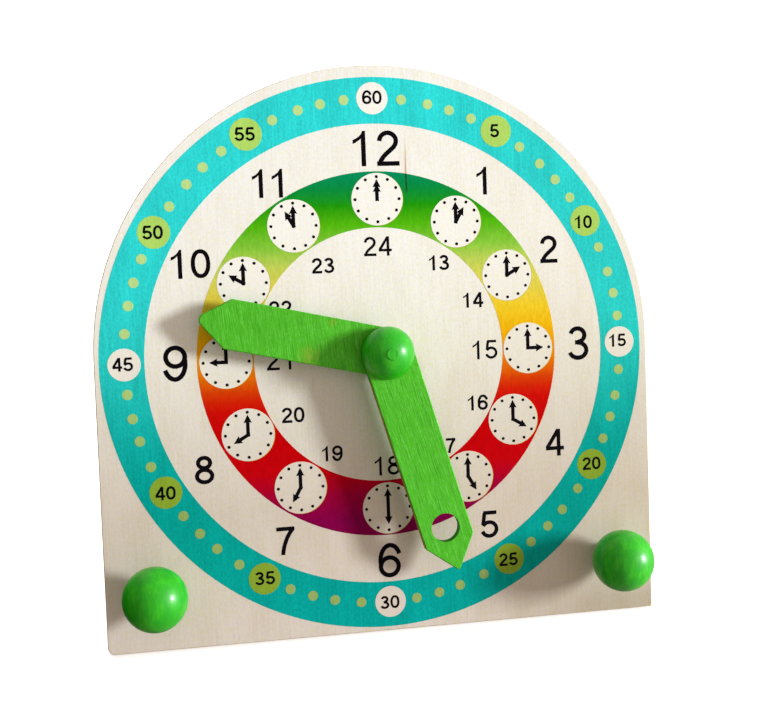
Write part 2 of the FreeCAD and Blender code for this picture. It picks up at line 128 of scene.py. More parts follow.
class DialPrintSettings(bpy.types.PropertyGroup):
    """Sizes of the printed rings, discs and dots."""

    print_left: length("Print left", "How far the whole print lies left of the hands' axis", 0.15)
    print_drop: length("Print drop", "How far the whole print lies below the hands' axis", 0.45)
    ring_outer: length("Minute ring outside", "Outer radius of the minute ring", 109.15)
    ring_inner: length("Minute ring inside", "Inner radius of the minute ring, up and down", 91.0)
    ring_inner_wide: length("Minute ring inside, across", "The same radius from side to side", 92.1)
    band_outer: length("Hour band outside", "Outer radius of the rainbow hour band", 72.25)
    band_inner: length("Hour band inside", "Inner radius of the rainbow hour band", 50.3)
    minute_circle: length("Minute circle", "Radius of the circle of minute discs and dots", 100.0)
    minute_disc: length("Minute disc", "Radius of a numbered minute disc", 6.25)
    minute_dot: length("Minute dot", "Radius of a single-minute dot", 1.97)
    hour_disc: length("Small clock face", "Radius of a small clock face", 10.3)
    hour_drop: length("Band drop", "How far the hour band's centre lies below the print's", 0.7)
    ring_drop: length("Ring drop", "How far the minute ring's centre lies below the print's", 0.85)
    ring_left: length("Rings left", "How far both rings' centres lie left of the print's", 0.25)
    small_dot: length("Small face dot", "Radius of a dot on a small clock face", 0.61)
    small_circle: length("Small face dot circle", "Radius of the dots' circle on a small face", 8.85)
    small_minute: length("Small minute arrow", "Length of a small face's minute arrow", 7.9)
    small_hour: length("Small hour arrow", "Length of a small face's hour arrow", 6.58)
    small_twelve: length("Twelve's hour arrow", "Length of the same arrow at twelve", 6.05)
    arrow_width: length("Arrow shaft", "Width of an arrow's shaft", 1.4)
    arrow_head: length("Arrow head length", "Length of an arrow's head", 3.0)
    arrow_head_width: length("Arrow head width", "Width of an arrow's head", 3.25)


class NumeralSettings(bpy.types.PropertyGroup):
    """Heights and pens of the printed numerals."""

    quarter_height: length("12, 3, 6 and 9", "Height of the four large hour numerals", 13.8)
    hour_height: length("Other hours", "Height of the other hour numerals", 11.1)
    afternoon_quarter_height: length("15, 18, 21 and 24", "Height of the larger inner numerals", 7.6)
    afternoon_height: length("Other afternoon hours", "Height of the other inner numerals", 6.05)
    minute_height: length("Minutes", "Height of the numerals on the minute discs", 5.25)
    quarter_pen: pen_share("12, 3, 6 and 9", 0.129)
    hour_pen: pen_share("Other hours", 0.141)
    afternoon_quarter_pen: pen_share("15, 18, 21 and 24", 0.133)
    afternoon_pen: pen_share("Other afternoon hours", 0.164)
    minute_pen: pen_share("Minutes", 0.172)


class ColourSettings(bpy.types.PropertyGroup):
    """Colours of the print and of the finishes, as linear values."""

    turquoise: colour("Turquoise", "Ink of the minute ring", (0.028, 0.69, 0.68))
    lime: colour("Lime", "Ink of the numbered minute discs", (0.44, 0.71, 0.14))
    dot: colour("Dot green", "Ink of the single-minute dots", (0.50, 0.75, 0.285))
    cream: colour("Cream", "Bare disc of the quarter minutes and small faces", (0.93, 0.93, 0.88))
    gold: colour("Gold", "Thin rim of the small faces", (0.46, 0.34, 0.008))
    black: colour("Black", "Ink of the numerals and small hands", (0.004, 0.003, 0.005))
    pale_wood: colour("Pale wood", "Light streaks of the dial's face veneer", (0.94, 0.95, 0.92))
    warm_wood: colour("Warm wood", "Dark streaks of the dial's face veneer", (0.86, 0.84, 0.75))
    stain: colour("Green stain", "Stain of the hands", (0.08, 0.50, 0.016))
    lacquer: colour("Green lacquer", "Lacquer of the knob and the ball heads", (0.008, 0.43, 0.001))


class TurnedSettings(bpy.types.PropertyGroup):
    """Shapes of the turned green pieces and the screws."""

    knob_height: length("Knob height", "Height of the half-ball knob above the minute hand", 9.05)
    knob_bore: length("Knob bore", "Radius of the knob's bore round the minute shaft", 2.495)
    ball_flat: length("Ball flat", "Radius of the flat behind a ball head", 5.2)
    spigot: length("Spigot", "Radius of the peg's end inside a ball head", 3.0)
    spigot_length: length("Spigot depth", "Depth of the peg's end inside a ball head", 12.0)
    screw_head: length("Screw head", "Radius of a bridge screw's head", 3.19)
    screw_head_height: length("Screw head height", "Height of a bridge screw's head", 2.2)
    screw_shank: length("Screw shank", "Radius of a bridge screw's shank", 1.49)
    screw_slot: length("Screw slot", "Width of the cross in a screw's head", 0.75)
    screw_cross: length("Screw cross", "Length of the cross in a screw's head", 3.5)
    steps: IntProperty(name="Turning steps", description="Segments round a turned piece",
                       default=96, min=24)


class StageSettings(bpy.types.PropertyGroup):
    """Floor, lights and surround."""

    floor_radius: length("Floor radius", "Radius of the pale floor", 9000.0)
    wall_height: length("Wall height", "Height of the pale wall round the floor", 9000.0)
    key_power: light_power("Key light", "Power of the soft light from the right", 112.0)
    back_power: light_power("Back light", "Power of the soft light on the gear train", 30.0)
    rear_power: light_power("Rear light", "Power of the wide light over the floor behind", 300.0)
    surround: FloatProperty(name="Surround", description="Strength of the warm light all round",
                            default=0.395, min=0.0)
    lean: share("Surround's lean", "How much stronger the warm light is on its bright side", 1.0)


class ClockSettings(bpy.types.PropertyGroup):
    """Everything that can be set."""

    dial: PointerProperty(type=DialPrintSettings)
    numerals: PointerProperty(type=NumeralSettings)
    colours: PointerProperty(type=ColourSettings)
    turned: PointerProperty(type=TurnedSettings)
    stage: PointerProperty(type=StageSettings)


def settings():
    return bpy.context.scene.teaching_clock


# ------------------------------------------------------------------ finishes


def arithmetic(operation, other_first=False):
    """A method that adds a Math node for two values."""
    def add_node(self, other):
        return self.math(operation, *((other, self) if other_first else (self, other)))
    return add_node


class Wire:
    """A value on its way through a material. Arithmetic on it adds Math nodes."""

    def __init__(self, finish, socket):
        self.finish = finish
        self.socket = socket

    def math(self, operation, *values):
        return self.finish.node("ShaderNodeMath", {"operation": operation}, dict(enumerate(values)))

    __add__ = __radd__ = arithmetic("ADD")
    __sub__ = arithmetic("SUBTRACT")
    __rsub__ = arithmetic("SUBTRACT", other_first=True)
    __mul__ = __rmul__ = arithmetic("MULTIPLY")
    __truediv__ = arithmetic("DIVIDE")
    __mod__ = arithmetic("FLOORED_MODULO")
    __gt__ = arithmetic("GREATER_THAN")

    def __abs__(self):
        return self.math("ABSOLUTE", self)

    def between(self, low, high):
        """0 below low, 1 above high and smooth between them; low may be the larger."""
        return self.finish.node("ShaderNodeMapRange", {"interpolation_type": "SMOOTHSTEP"},
                                {"Value": self, "From Min": low, "From Max": high})


# The Mix node's colour sockets share their names with its other sockets, so they go by number
MIX_FACTOR = 0
MIX_FIRST = 6
MIX_SECOND = 7
MIX_RESULT = 2


class Finish:
    """A material or world being made. Its places are in millimetres on the dial's axes."""

    def __init__(self, owner):
        self.owner = owner
        owner.use_nodes = True
        self.tree = owner.node_tree
        self.tree.nodes.clear()

    def node(self, kind, choices=None, inputs=None, output=0):
        """Adds a node: its choices are set first, then its sockets get values or wires."""
        made = self.tree.nodes.new(kind)
        for name, value in (choices or {}).items():
            if name == "stops":
                self.set_stops(made.color_ramp.elements, value)
            else:
                setattr(made, name, value)
        for name, value in (inputs or {}).items():
            if isinstance(value, Wire):
                self.tree.links.new(value.socket, made.inputs[name])
            else:
                made.inputs[name].default_value = value
        return None if output is None else Wire(self, made.outputs[output])

    @staticmethod
    def set_stops(elements, stops):
        while len(elements) < len(stops):
            elements.new(1.0)
        for element, (position, tone) in zip(elements, stops):
            element.position = position
            element.color = (*tone, 1.0)

    def place(self, turn=0.0):
        """The shaded point in millimetres, with Y turned to a clock angle in radians."""
        seen = Matrix.Rotation(turn, 4, "Z") @ TO_DIAL
        point = self.node("ShaderNodeTexCoord", output="Object")
        return self.node("ShaderNodeMapping", {"vector_type": "POINT"}, {
            "Vector": point,
            "Location": seen.translation / MM,
            "Rotation": seen.to_euler(),
            "Scale": (1 / MM, 1 / MM, 1 / MM),
        })

    def facing(self):
        """1 where the surface faces the reader or the wall behind, 0 on an edge."""
        normal = self.node("ShaderNodeTexCoord", output="Normal")
        return abs(self.vector_math("DOT_PRODUCT", normal, OUTWARD, "Value"))

    def vector_math(self, operation, first, second, output=0):
        return self.node("ShaderNodeVectorMath", {"operation": operation}, {0: first, 1: second}, output)

    def axes(self, place):
        parts = self.tree.nodes.new("ShaderNodeSeparateXYZ")
        self.tree.links.new(place.socket, parts.inputs[0])
        return [Wire(self, output) for output in parts.outputs]

    def noise(self, place, pitch, detail, roughness=0.5):
        """Noise about 0.5; its pitch is in waves a millimetre along each axis."""
        return self.node("ShaderNodeTexNoise", inputs={
            "Vector": self.vector_math("MULTIPLY", place, pitch),
            "Scale": 1.0, "Detail": detail, "Roughness": roughness})

    def distance(self, place, centre):
        """Distance in millimetres from a place on the dial, across it."""
        return self.vector_math("DISTANCE", place, (*centre, 0.0), "Value")

    def ramp(self, value, stops):
        return self.node("ShaderNodeValToRGB", {"stops": stops}, {"Fac": value})

    def mix(self, first, second, factor, blend="MIX"):
        """A colour between two others."""
        first, second = [tone if isinstance(tone, Wire) else (*tone, 1.0) for tone in (first, second)]
        return self.node("ShaderNodeMix", {"data_type": "RGBA", "blend_type": blend},
                         {MIX_FACTOR: factor, MIX_FIRST: first, MIX_SECOND: second}, output=MIX_RESULT)

    def tinted(self, tone, tint, amount=1.0):
        """A colour multiplied by a tint, as far as the amount goes."""
        return self.mix(tone, tint, amount, "MULTIPLY")

    def shaded(self, tone, value):
        """A colour made darker or lighter by a value about 1."""
        return self.tinted(tone, self.node("ShaderNodeCombineXYZ", inputs={0: value, 1: value, 2: value}))

    def surface(self, tone, roughness, relief=None, depth=0.0, gloss=0.5, **sockets):
        """Ends the material in a Principled shader, with relief to a depth in millimetres."""
        if relief is not None:
            bump = {"Height": relief, "Distance": depth * MM}
            sockets["Normal"] = self.node("ShaderNodeBump", inputs=bump)
        values = {"Base Color": tone, "Roughness": roughness, "Specular IOR Level": gloss}
        values.update({name.replace("_", " "): value for name, value in sockets.items()})
        shader = self.node("ShaderNodeBsdfPrincipled", inputs=values)
        self.node("ShaderNodeOutputMaterial", inputs={"Surface": shader}, output=None)
        return self.owner


def made_once(build):
    """Builds a material the first time it is asked for and finds it again afterwards."""
    def find(*values):
        name = "_".join(["finish", build.__name__, *[str(value) for value in values]])
        return bpy.data.materials.get(name) or build(Finish(bpy.data.materials.new(name)), *values)
    return find


def veneer_streaks(finish, place):
    """Darkness of the dial's face veneer, about 0.5, with its grain up the board."""
    streaks = finish.noise(place, (1.4, 0.06, 1.4), 4.0, 0.6)
    speckle = finish.noise(place, (1.1, 0.75, 1.1), 3.0, 0.7)
    clouds = finish.noise(place, (0.10, 0.035, 0.10), 3.0)
    return 0.33 * streaks + 0.42 * speckle + 0.25 * clouds


YELLOW_TINGE = (1.0, 0.98, 0.88)
PINK_TINGE = (1.0, 0.97, 0.98)


def mottled(finish, tone, place):
    """A colour with faint yellow and pink blotches."""
    blots = finish.noise(place, (0.55, 0.40, 0.55), 3.0, 0.7)
    tone = finish.tinted(tone, YELLOW_TINGE, blots.between(0.48, 0.62))
    return finish.tinted(tone, PINK_TINGE, blots.between(0.50, 0.38))


# Painted shade of the dial's face, darker and warmer down the board where the light falls off, at heights in
# millimetres above its centre
PAINTED_FALLOFF_TINTS = [
    (-108.0, (0.74, 0.66, 0.62)),
    (-60.0, (0.71, 0.63, 0.575)),
    (-30.0, (0.79, 0.745, 0.70)),
    (0.0, (0.90, 0.88, 0.84)),
    (25.0, (0.975, 0.965, 0.955)),
    (50.0, (1.0, 1.0, 1.0)),
]
# Painted shade towards the board's right side, and along its foot below the right ball
PAINTED_RIGHT_SHADE = (0.93, 0.91, 0.87)
PAINTED_FOOT_SHADE = (0.78, 0.76, 0.70)


def by_height(finish, place, tones):
    """A colour that changes with the height on the board."""
    _, up, _ = finish.axes(place)
    low = tones[0][0]
    high = tones[-1][0]
    stops = [((height - low) / (high - low), tone) for height, tone in tones]
    return finish.ramp((up - low) / (high - low), stops)


def mellowed(finish, tone, place):
    """A colour of the dial's face with painted shade: deeper and warmer down the board, darker towards its right
    and darkest at its right foot.
    """
    falloff_shaded = finish.tinted(tone, by_height(finish, place, PAINTED_FALLOFF_TINTS))
    across, up, _ = finish.axes(place)
    # Painted shade towards the right side of the board
    falloff_shaded = finish.tinted(falloff_shaded, PAINTED_RIGHT_SHADE, across.between(5.0, 95.0))
    # Painted shade along the board's foot, below the right ball
    corner = across.between(20.0, 100.0) * up.between(-96.0, -110.0)
    return finish.tinted(falloff_shaded, PAINTED_FOOT_SHADE, corner)


# The dark vein, in millimetres on the dial; it is darkest and widest below the two heights named so
VEIN_ACROSS = 12.2
VEIN_HALF_WIDTH = 0.34
VEIN_TOP = 87.0
VEIN_DARKEST = 75.0
VEIN_WIDEST = 68.0
VEIN_FOOT = 61.0
VEIN_BROWN = (0.52, 0.25, 0.12)
VEIN_UNDER_INK = (0.012, 0.03, 0.015)


def dark_vein(finish, place):
    """A short dark vein in the veneer beside the twelve, which thins out up the board."""
    across, along, _ = finish.axes(place)
    sway = 0.35 * finish.noise(place, (0.0, 0.12, 0.0), 1.0)
    width = VEIN_HALF_WIDTH * along.between(VEIN_TOP - 1.0, VEIN_WIDEST)
    line = abs(across - VEIN_ACROSS - sway).between(width + 0.25, width * 0.35)
    return line * along.between(VEIN_TOP, VEIN_DARKEST) * along.between(VEIN_FOOT, VEIN_FOOT + 3.0)


# Colours of plywood edges
PALE_PLY = (0.72, 0.57, 0.38)
BROWN_PLY = (0.47, 0.31, 0.17)
GLUE_LINE = (0.20, 0.11, 0.06)
DIAL_PLIES = 5


def ply_edge(finish, depth, ply_thickness):
    """Colour of a plywood edge: pale and brown plies by turns, with thin glue lines."""
    ply = depth / ply_thickness
    crossed = (ply % 2.0) > 1.0
    glue = abs((ply % 1.0) - 0.5).between(0.43, 0.49)
    tone = finish.mix(PALE_PLY, BROWN_PLY, crossed)
    return finish.mix(tone, GLUE_LINE, 0.7 * glue)


@made_once
def dial_plywood(finish):
    """Pale face veneer with fine streaks, plies showing on the edges, bare and warmer behind."""
    tones = settings().colours
    place = finish.place()
    streaks = veneer_streaks(finish, place)
    _, _, height = finish.axes(place)
    face = finish.mix(tones.pale_wood, tones.warm_wood, streaks.between(0.40, 0.62))
    # The face gets painted shade down the board, towards its right and at its right foot
    face = mellowed(finish, mottled(finish, face, place), place)
    face = finish.mix(face, VEIN_BROWN, 0.75 * dark_vein(finish, place))
    back = finish.mix((0.72, 0.55, 0.36), (0.52, 0.36, 0.21), streaks.between(0.38, 0.64))
    thickness = -extent("dial_board")[0].z / MM
    plies = ply_edge(finish, 0.0 - height, thickness / DIAL_PLIES)
    edge = finish.shaded(plies, 0.8 + 0.4 * finish.noise(place, (1.2, 1.2, 0.3), 3.0))
    flat = finish.mix(back, face, height > -0.5 * thickness)
    tone = finish.mix(edge, flat, finish.facing().between(0.8, 0.9))
    return finish.surface(tone, 0.52 + 0.2 * streaks, relief=streaks, depth=0.05, gloss=0.2)


def ink(finish, tone, streakiness):
    """Printed ink that lets the veneer's streaks and its dark vein through."""
    place = finish.place()
    streaks = veneer_streaks(finish, place)
    toned = finish.shaded(tone, 1.0 - streakiness * (streaks - 0.5))
    toned = finish.mix(toned, VEIN_UNDER_INK, 0.8 * dark_vein(finish, place))
    return finish.surface(toned, 0.55 + 0.16 * streaks, relief=streaks, depth=0.04, gloss=0.02)


def deepened(finish, tone, place, tint):
    """A colour of the dial's face with painted shade, tinted darker still below the dial's centre."""
    shaded_face_tone = mellowed(finish, tone, place)
    _, up, _ = finish.axes(place)
    return finish.tinted(shaded_face_tone, tint, up.between(20.0, -50.0))


@made_once
def turquoise_ink(finish):
    """Turquoise that is lighter where the veneer is pale, with painted shade that deepens it down the board."""
    tone = deepened(finish, settings().colours.turquoise, finish.place(), (0.06, 0.78, 0.76))
    return ink(finish, tone, 1.7)


@made_once
def lime_ink(finish):
    """Lime at the top of the board, with painted shade that darkens it to olive at its foot."""
    tone = deepened(finish, settings().colours.lime, finish.place(), (0.74, 0.78, 0.36))
    return ink(finish, tone, 0.9)


@made_once
def dot_ink(finish):
    place = finish.place()
    tone = deepened(finish, mottled(finish, settings().colours.dot, place), place, (0.78, 0.85, 0.72))
    return ink(finish, tone, 0.9)


@made_once
def cream_ink(finish):
    place = finish.place()
    return ink(finish, mellowed(finish, mottled(finish, settings().colours.cream, place), place), 0.4)


@made_once
def black_ink(finish):
    return ink(finish, settings().colours.black, 0.5)


@made_once
def gold_ink(finish):
    return ink(finish, settings().colours.gold, 0.5)


# Ink of the hour band at heights in millimetres above the dial's centre
RAINBOW = [
    (-66.0, (0.22, 0.0, 0.06)),
    (-56.0, (0.33, 0.0, 0.035)),
    (-52.0, (0.43, 0.0, 0.016)),
    (-46.0, (0.53, 0.0, 0.003)),
    (-31.0, (0.54, 0.0, 0.001)),
    (-21.0, (0.60, 0.003, 0.001)),
    (-17.0, (0.64, 0.014, 0.001)),
    (-13.0, (0.67, 0.048, 0.001)),
    (-4.0, (0.80, 0.22, 0.001)),
    (8.0, (0.86, 0.47, 0.003)),
    (16.0, (0.87, 0.60, 0.02)),
    (28.0, (0.72, 0.66, 0.095)),
    (36.0, (0.48, 0.64, 0.095)),
    (42.0, (0.24, 0.58, 0.045)),
    (50.0, (0.09, 0.49, 0.004)),
    (58.0, (0.012, 0.32, 0.002)),
    (64.0, (0.002, 0.27, 0.045)),
    (70.0, (0.001, 0.27, 0.105)),
]


@made_once
def rainbow_ink(finish):
    """Hour band: greens at the top through yellow and red to purple at the bottom."""
    place = finish.place()
    blots = finish.noise(place, (0.7, 0.28, 0.7), 3.0, 0.65)
    tone = finish.shaded(by_height(finish, place, RAINBOW), 0.96 + 0.5 * (blots - 0.46))
    return ink(finish, tone, 0.45)


# Where the hour hand's stain is worn through: centres and reach in millimetres on the dial
WORN_PATCHES = (((-30.0, 0.0), 6.0), ((-20.7, 13.0), 2.5))

# Radii, in millimetres, round the finger hole and the hub within which the cut edges are stained
STAINED_HOLE = 7.0
STAINED_HUB = 13.0

# Tones of the stain over open grain
PALE_FIBRE = (0.17, 0.60, 0.10)
DEEP_BLOT = (0.06, 0.46, 0.012)
DARK_PORE = (0.02, 0.27, 0.004)
WORN_OLIVE = (0.36, 0.34, 0.03)
STAINED_EDGE = (0.012, 0.34, 0.006)
BARE_EDGE = (0.50, 0.25, 0.05)


@made_once
def green_stain(finish, angle):
    """Green stain over open grain that runs at an angle; bare brown shows behind on the outer edges."""
    grain = finish.place(angle)
    fibres = finish.noise(grain, (3.6, 0.11, 1.2), 4.0, 0.7)
    streaks = finish.noise(grain, (0.9, 0.03, 0.5), 3.0, 0.6)
    blots = finish.noise(grain, (1.1, 0.6, 0.7), 3.0, 0.6)
    pores = finish.noise(grain, (3.2, 0.09, 2.0), 1.0)
    shade = 1.0 + 1.9 * (fibres - 0.5) + 0.4 * (streaks - 0.5)
    tone = finish.shaded(settings().colours.stain, shade)
    tone = finish.mix(tone, PALE_FIBRE, 0.55 * (0.6 * fibres + 0.4 * blots).between(0.50, 0.62))
    tone = finish.mix(tone, DEEP_BLOT, 0.5 * blots.between(0.48, 0.38))
    tone = finish.mix(tone, DARK_PORE, 0.5 * pores.between(0.58, 0.68))
    flat = finish.vector_math("MULTIPLY", finish.place(), (1, 1, 0))
    for centre, reach in WORN_PATCHES:
        worn = finish.distance(flat, centre).between(reach, 0.2 * reach)
        tone = finish.mix(tone, WORN_OLIVE, 0.5 * worn * (0.5 * fibres + 0.5 * blots).between(0.42, 0.58))
    off_hole = finish.distance(flat, FINGER_HOLE.xy / MM) > STAINED_HOLE
    off_hub = finish.distance(flat, (0.0, 0.0)) > STAINED_HUB
    edge = finish.mix(STAINED_EDGE, BARE_EDGE, fibres.between(0.38, 0.52) * off_hole * off_hub)
    tone = finish.mix(edge, tone, finish.facing().between(0.25, 0.5))
    return finish.surface(tone, 0.42 + 0.3 * fibres, relief=fibres - 0.6 * pores, depth=0.07, gloss=0.15)


@made_once
def peg_stain(finish):
    """Green stain on a turned peg, whose grain runs front to back."""
    fibres = finish.noise(finish.place(), (2.0, 2.0, 0.12), 4.0, 0.65)
    tone = finish.shaded(settings().colours.stain, 1.0 + 1.2 * (fibres - 0.5))
    return finish.surface(tone, 0.42 + 0.25 * fibres, relief=fibres, depth=0.06, gloss=0.2)


@made_once
def green_lacquer(finish):
    """Glossy lacquer on turned wood, with bands of open grain showing through it."""
    place = finish.place()
    clouds = finish.noise(place, (0.22, 0.09, 0.22), 3.0)
    fibres = finish.noise(place, (1.1, 0.12, 1.1), 4.0, 0.65)
    tone = finish.shaded(settings().colours.lacquer, 0.75 + 0.5 * clouds)
    tone = finish.mix(tone, (0.07, 0.62, 0.002), 0.5 * (0.5 * fibres + 0.5 * clouds).between(0.46, 0.62))
    return finish.surface(tone, 0.40 + 0.12 * clouds, relief=fibres, depth=0.04, gloss=0.4,
                          Coat_Weight=0.4, Coat_Roughness=0.23)


# Depth in millimetres of each band that the laser left on a cut edge
LASER_BAND = 1.3


@made_once
def gear_plywood(finish):
    """Bare plywood of the wheels and the bridge, with edges browned by the cutting laser."""
    place = finish.place()
    streaks = finish.noise(place, (0.8, 0.04, 0.8), 4.0, 0.6)
    _, _, height = finish.axes(place)
    face = finish.mix((0.66, 0.50, 0.31), (0.45, 0.30, 0.16), streaks.between(0.36, 0.66))
    soot = finish.noise(place, (0.35, 0.35, 1.4), 3.0)
    edge = finish.mix((0.075, 0.032, 0.014), (0.22, 0.11, 0.05), soot.between(0.4, 0.62))
    edge = finish.mix(edge, (0.03, 0.012, 0.006), 0.6 * ((height / LASER_BAND) % 1.0).between(0.7, 0.95))
    tone = finish.mix(edge, face, finish.facing().between(0.75, 0.9))
    return finish.surface(tone, 0.5 + 0.2 * streaks, relief=streaks, depth=0.07, gloss=0.3)


@made_once
def beech(finish):
    """Turned beech with short flecks along the grain, which runs front to back."""
    place = finish.place()
    fibres = finish.noise(place, (1.6, 1.6, 0.12), 4.0, 0.6)
    flecks = finish.noise(place, (2.6, 2.6, 0.5), 1.0)
    tone = finish.mix((0.62, 0.40, 0.22), (0.42, 0.24, 0.12), fibres.between(0.36, 0.64))
    tone = finish.mix(tone, (0.30, 0.15, 0.07), 0.6 * flecks.between(0.62, 0.70))
    return finish.surface(tone, 0.42 + 0.2 * fibres, relief=fibres, depth=0.06, gloss=0.35)


@made_once
def fibre(finish):
    """Dark red vulcanised fibre with a matt, slightly mottled face."""
    mottle = finish.noise(finish.place(), (1.5, 1.5, 1.5), 4.0, 0.65)
    tone = finish.mix((0.055, 0.012, 0.008), (0.11, 0.028, 0.016), mottle.between(0.35, 0.65))
    return finish.surface(tone, 0.55 + 0.25 * mottle, relief=mottle, depth=0.04, gloss=0.35)


@made_once
def zinc_steel(finish):
    """Zinc-plated steel with faint turning lines and dull patches."""
    place = finish.place()
    patches = finish.noise(place, (0.9, 0.9, 0.9), 3.0)
    lines = finish.noise(place, (6.0, 6.0, 0.4), 2.0)
    tone = finish.mix((0.60, 0.60, 0.58), (0.42, 0.43, 0.44), patches.between(0.4, 0.62))
    return finish.surface(tone, 0.24 + 0.3 * patches, relief=lines, depth=0.02, Metallic=1.0)


@made_once
def pale_floor(finish):
    """Plain matt white with a barely visible cloudiness, glowing more far from the clock."""
    place = finish.place()
    clouds = finish.noise(place, (0.004, 0.004, 0.004), 3.0)
    away = finish.node("ShaderNodeVectorMath", {"operation": "LENGTH"}, {0: place}, output="Value")
    glow = finish.shaded((1.0, 1.0, 1.0), 0.5 + 0.5 * away.between(700.0, 2500.0))
    white = finish.shaded((0.9, 0.9, 0.9), 0.98 + 0.04 * clouds)
    return finish.surface(white, 0.65 + 0.1 * clouds, gloss=0.1,
                          Emission_Color=glow, Emission_Strength=1.0)


# ------------------------------------------------------------------ making pieces


# Turned pieces are shaded smooth below this angle between faces
SHARP_FROM = math.radians(35)

# Corners nearer than this, in metres, are one
WELD = 1e-7


def linked(name, data):
    """A new object in the scene."""
    made = bpy.data.objects.new(name, data)
    bpy.context.scene.collection.objects.link(made)
    return made


def mesh_object(name, bm):
    mesh = bpy.data.meshes.new(name)
    bm.to_mesh(mesh)
    bm.free()
    return linked(name, mesh)


def piece(name, bm, material, body, smooth=False):
    """Turns a mesh drawn on the dial's axes into a finished piece that rides on a body."""
    bmesh.ops.transform(bm, matrix=DIAL, verts=bm.verts)
    bmesh.ops.recalc_face_normals(bm, faces=bm.faces)
    made = mesh_object(name, bm)
    if smooth:
        made.data.shade_smooth()
        made.data.set_sharp_from_angle(angle=SHARP_FROM)
    made.data.materials.append(material)
    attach(made, body)
    return made


def moved(bm, start, matrix):
    """Transforms the vertices that were added to a mesh after the first few."""
    bm.verts.ensure_lookup_table()
    bmesh.ops.transform(bm, matrix=matrix, verts=bm.verts[start:])


def on_circle(radius, angle, centre=(0.0, 0.0)):
    """A point at a clock angle in radians, clockwise from twelve."""
    return centre[0] + radius * math.sin(angle), centre[1] + radius * math.cos(angle)


def add_disc(bm, centre, radius, top, segments):
    """A flat disc of ink with its foot just inside what it is printed on."""
    middle = Matrix.Translation((*centre, (INK_BASE + top) / 2))
    bmesh.ops.create_cone(bm, cap_ends=True, segments=segments, radius1=radius, radius2=radius,
                          depth=top - INK_BASE, matrix=middle)


def lift(bm, extruded, height):
    """Moves the new corners of an extrusion up."""
    tops = [part for part in extruded["geom"] if isinstance(part, bmesh.types.BMVert)]
    bmesh.ops.translate(bm, vec=(0, 0, height), verts=tops)


def add_slab(bm, corners, depth):
    """A flat outline made solid upwards."""
    face = bm.faces.new([bm.verts.new(corner) for corner in corners])
    lift(bm, bmesh.ops.extrude_face_region(bm, geom=[face], use_keep_orig=True), depth)


def turn_profile(bm, profile, steps, centre=(0.0, 0.0)):
    """Spins (radius, height) corners about a line out of the dial and welds the seam and poles."""
    start = len(bm.verts)
    corners = [bm.verts.new((radius, 0, height)) for radius, height in profile]
    rims = [bm.edges.new(pair) for pair in zip(corners, corners[1:])]
    bmesh.ops.spin(bm, geom=corners + rims, cent=(0, 0, 0), axis=(0, 0, 1), angle=FULL_TURN,
                   steps=steps, use_merge=True)
    moved(bm, start, Matrix.Translation((*centre, 0)))
    bmesh.ops.remove_doubles(bm, verts=bm.verts, dist=WELD)


def printed(name, bm, material):
    """Lays ink on the board. The whole print lies a little off the hands' axis."""
    dial = settings().dial
    bmesh.ops.translate(bm, vec=(-dial.print_left, -dial.print_drop, 0), verts=bm.verts)
    return piece(name, bm, material, "stand")


# Segments round the minute ring and the hour band
RING_STEPS = 192


def flat_ring(outer, inner, inner_wide, centre):
    """A flat ring of ink, whose hole may be wider than it is high."""
    bm = bmesh.new()
    foot = [(inner, INK_BASE), (outer, INK_BASE)]
    turn_profile(bm, foot + [(outer, RING_TOP), (inner, RING_TOP), foot[0]], RING_STEPS)
    rim = [vertex for vertex in bm.verts if vertex.co.xy.length < (inner + outer) / 2]
    bmesh.ops.scale(bm, vec=(inner_wide / inner, 1, 1), verts=rim)
    bmesh.ops.translate(bm, vec=(*centre, 0), verts=bm.verts)
    return bm


# ------------------------------------------------------------------ numerals

# As shares of a numeral's height: a digit's middle, the step to the next digit, how much nearer two
# ones stand, and where the stem and the flag's end of a one are
DIGIT_MIDDLE = (0.325, 0.5)
DIGIT_PITCH = 0.785
ONES_KERN = 0.095
ONE_STEM = 0.40
FLAG_END = 0.098

# Points round a full oval
ROUND_STEPS = 28


def oval(centre, reach, start=0.0, end=360.0, squareness=2.0):
    """Points along an ellipse, anticlockwise from three o'clock, in degrees."""
    steps = max(6, round(ROUND_STEPS * abs(end - start) / 360))
    closed = abs(end - start) == 360
    points = []
    for step in range(steps if closed else steps + 1):
        angle = math.radians(start + (end - start) * step / steps)
        turn = (math.cos(angle), math.sin(angle))
        spread = [math.copysign(abs(part) ** (2 / squareness), part) for part in turn]
        points.append((centre[0] + reach[0] * spread[0], centre[1] + reach[1] * spread[1]))
    return points


def bend(start, leave, arrive, end, steps=8):
    """Points along a cubic curve, from its ends and the two points it heads for."""
    ends = [Vector(point) for point in (start, leave, arrive, end)]
    points = []
    for step in range(steps + 1):
        t = step / steps
        pulls = ((1 - t) ** 3, 3 * t * (1 - t) ** 2, 3 * t * t * (1 - t), t ** 3)
        points.append(tuple(sum((pull * point for pull, point in zip(pulls, ends)), Vector((0, 0)))))
    return points


def turned_about(points, centre):
    """The same points half a turn round a centre."""
    return [(2 * centre[0] - x, 2 * centre[1] - y) for x, y in points]


